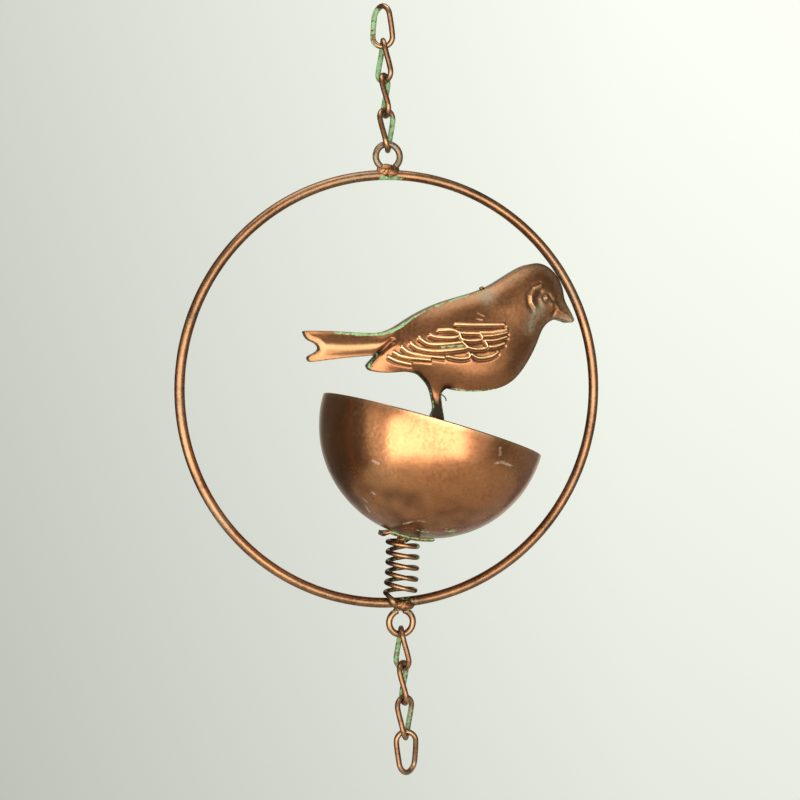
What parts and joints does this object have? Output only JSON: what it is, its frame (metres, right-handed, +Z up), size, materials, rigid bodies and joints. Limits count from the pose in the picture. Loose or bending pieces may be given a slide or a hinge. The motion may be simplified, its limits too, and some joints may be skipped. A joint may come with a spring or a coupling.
{
  "type": "rain chain",
  "caption": "Rain chain section of copper-finished wire: twisted links carry a hoop, in which a stamped songbird perches on a half-sphere bowl that leans on a coil spring.",
  "frame": {"origin": "top of the space inside the top link, where a hook holds the chain", "axes": "+Z up along the chain, +X to the bird's beak in the hoop's plane, -Y on the bird's side"},
  "size_m": [0.152, 0.086, 0.2679],
  "materials": {
    "chain": "antique copper plate with traces of green",
    "hoop": "antique copper plate, satin",
    "spring": "antique copper plate with traces of green",
    "bowl": "antique copper plate, polished and lacquered",
    "bird": "antique copper plate, darkened in its relief, with green at its seam",
    "braze": "rough braze under copper plate"
  },
  "bodies": {
    "top_link": {"upper_link_1": "chain"},
    "second_link": {"upper_link_2": "chain"},
    "third_link": {"upper_link_3": "chain"},
    "fourth_link": {"upper_link_4": "chain"},
    "ring": {"hoop": "hoop", "upper_eye": "hoop", "upper_braze": "braze", "lower_eye": "hoop", "lower_braze": "braze", "spring": "spring"},
    "cup": {"bowl": "bowl", "spring_seat": "bowl", "seat_braze": "braze", "bird_front": "bird", "bird_back": "bird", "seam_tack": "braze", "foot_braze": "braze"},
    "fifth_link": {"lower_link_1": "chain"},
    "sixth_link": {"lower_link_2": "chain"},
    "seventh_link": {"lower_link_3": "chain"},
    "end_link": {"lower_link_4": "chain"}
  },
  "joints": [
    {"name": "second_link_swing", "type": "hinge", "parent": "top_link", "child": "second_link", "pos_m": [0, 0, -0.0131], "axis": [-0.9659, 0.2588, 0], "range_deg": [-60, 60]},
    {"name": "third_link_swing", "type": "hinge", "parent": "second_link", "child": "third_link", "pos_m": [0, 0, -0.02311], "axis": [0.6561, 0.7547, 0], "range_deg": [-60, 60]},
    {"name": "fourth_link_swing", "type": "hinge", "parent": "third_link", "child": "fourth_link", "pos_m": [0, 0, -0.03514], "axis": [0.9063, 0.4226, 0], "range_deg": [-60, 60]},
    {"name": "ring_swing", "type": "hinge", "parent": "fourth_link", "child": "ring", "pos_m": [0, 0, -0.047], "axis": [1, 0, 0], "range_deg": [-60, 60]},
    {"name": "cup_sway", "type": "hinge", "parent": "ring", "child": "cup", "pos_m": [0.00083, 0.00898, -0.19378], "axis": [1, 0, 0], "range_deg": [-12, 12], "stiffness_Nm_per_rad": 0.36, "springref_deg": -1.62, "deforming": ["spring"]},
    {"name": "fifth_link_swing", "type": "hinge", "parent": "ring", "child": "fifth_link", "pos_m": [0, 0.01041, -0.21713], "axis": [1, 0, 0], "range_deg": [-60, 60]},
    {"name": "sixth_link_swing", "type": "hinge", "parent": "fifth_link", "child": "sixth_link", "pos_m": [0, 0.01041, -0.22696], "axis": [0.682, 0.7314, 0], "range_deg": [-60, 60]},
    {"name": "seventh_link_swing", "type": "hinge", "parent": "sixth_link", "child": "seventh_link", "pos_m": [0, 0.01041, -0.24101], "axis": [-0.1219, 0.9925, 0], "range_deg": [-60, 60]},
    {"name": "end_link_swing", "type": "hinge", "parent": "seventh_link", "child": "end_link", "pos_m": [0, 0.01041, -0.25102], "axis": [0.9659, -0.2588, 0], "range_deg": [-60, 60]}
  ]
}
